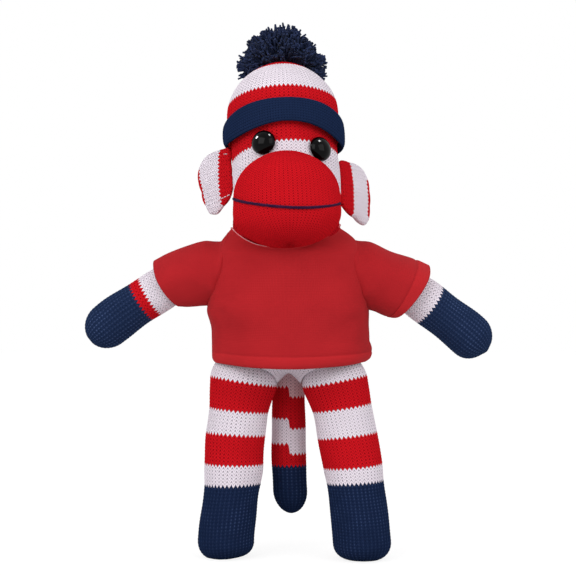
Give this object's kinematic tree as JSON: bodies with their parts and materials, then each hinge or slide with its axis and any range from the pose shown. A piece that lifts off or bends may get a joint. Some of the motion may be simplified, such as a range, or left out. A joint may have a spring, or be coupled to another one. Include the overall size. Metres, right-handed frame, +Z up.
{
  "type": "sock monkey doll",
  "caption": "Striped knit sock monkey doll in a plain T-shirt and a bobble hat, standing on flat soles, with a turning head and swinging limbs, ears and tail.",
  "frame": {"origin": "middle of the doll's overall footprint, on the surface that it stands on", "axes": "+Z up along the doll's height, the face looks along -Y, and the doll's own left is at +X"},
  "size_m": [0.2352, 0.1166, 0.3125],
  "materials": {
    "knit_stripe": "fine rib-free knit in bands of red, white and navy, matte",
    "knit_red": "fine plain red knit, matte",
    "knit_white": "fine plain white knit, matte",
    "knit_navy": "navy rib knit, matte",
    "yarn_navy": "navy acrylic yarn, matte",
    "jersey_red": "plain red polyester jersey, matte",
    "polyester_fill": "white polyester fibre",
    "eye_plastic": "black moulded plastic, high gloss",
    "washer_plastic": "white moulded plastic"
  },
  "bodies": {
    "torso": {"torso_skin": "knit_white", "torso_stuffing": "polyester_fill", "shirt_body": "jersey_red", "shirt_collar": "jersey_red"},
    "neck": {"neck": "knit_red"},
    "head": {"head_skin": "knit_stripe", "head_stuffing": "polyester_fill", "muzzle_skin": "knit_red", "muzzle_stuffing": "polyester_fill", "mouth_yarn": "yarn_navy", "right_eye": "eye_plastic", "left_eye": "eye_plastic", "right_eye_washer": "washer_plastic", "left_eye_washer": "washer_plastic", "hat_crown": "knit_stripe", "hat_cuff": "knit_navy", "pompom_tie": "yarn_navy"},
    "pompom": {"pompom": "yarn_navy"},
    "right_ear": {"right_ear": "knit_stripe"},
    "left_ear": {"left_ear": "knit_stripe"},
    "right_arm": {"right_arm_skin": "knit_stripe", "right_arm_stuffing": "polyester_fill", "right_sleeve": "jersey_red"},
    "left_arm": {"left_arm_skin": "knit_stripe", "left_arm_stuffing": "polyester_fill", "left_sleeve": "jersey_red"},
    "right_leg": {"right_leg_skin": "knit_stripe", "right_leg_stuffing": "polyester_fill"},
    "left_leg": {"left_leg_skin": "knit_stripe", "left_leg_stuffing": "polyester_fill"},
    "tail": {"tail_skin": "knit_stripe", "tail_stuffing": "polyester_fill"}
  },
  "joints": [
    {"name": "head_turn", "type": "hinge", "parent": "torso", "child": "neck", "pos_m": [0.00116, -0.01073, 0.182], "axis": [0, 0, 1], "range_deg": [-50, 50], "deforming": ["shirt_collar"]},
    {"name": "head_nod", "type": "hinge", "parent": "neck", "child": "head", "pos_m": [0.00116, -0.01073, 0.182], "axis": [1, 0, 0], "range_deg": [-20, 10], "deforming": ["shirt_collar"]},
    {"name": "pompom_tip", "type": "hinge", "parent": "head", "child": "pompom", "pos_m": [-0.00275, 0.03056, 0.28374], "axis": [1, 0, 0], "range_deg": [-12, 12]},
    {"name": "right_ear_flop", "type": "hinge", "parent": "head", "child": "right_ear", "pos_m": [-0.03432, 0.00268, 0.21855], "axis": [0, 0.2756, 0.9613], "range_deg": [-30, 30]},
    {"name": "left_ear_flop", "type": "hinge", "parent": "head", "child": "left_ear", "pos_m": [0.03352, -0.00022, 0.21165], "axis": [0, 0.2756, 0.9613], "range_deg": [-30, 30]},
    {"name": "right_arm_raise", "type": "hinge", "parent": "torso", "child": "right_arm", "pos_m": [-0.04184, -0.00673, 0.168], "axis": [0, 1, 0], "range_deg": [-15, 60]},
    {"name": "left_arm_raise", "type": "hinge", "parent": "torso", "child": "left_arm", "pos_m": [0.04416, -0.00673, 0.168], "axis": [0, -1, 0], "range_deg": [-15, 60]},
    {"name": "right_leg_swing", "type": "hinge", "parent": "torso", "child": "right_leg", "pos_m": [-0.02584, -0.00673, 0.1], "axis": [-1, 0, 0], "range_deg": [-30, 75]},
    {"name": "left_leg_swing", "type": "hinge", "parent": "torso", "child": "left_leg", "pos_m": [0.02816, -0.00673, 0.1], "axis": [-1, 0, 0], "range_deg": [-30, 75]},
    {"name": "tail_swing", "type": "hinge", "parent": "torso", "child": "tail", "pos_m": [0.00116, 0.01328, 0.105], "axis": [1, 0, 0], "range_deg": [0, 60]}
  ]
}
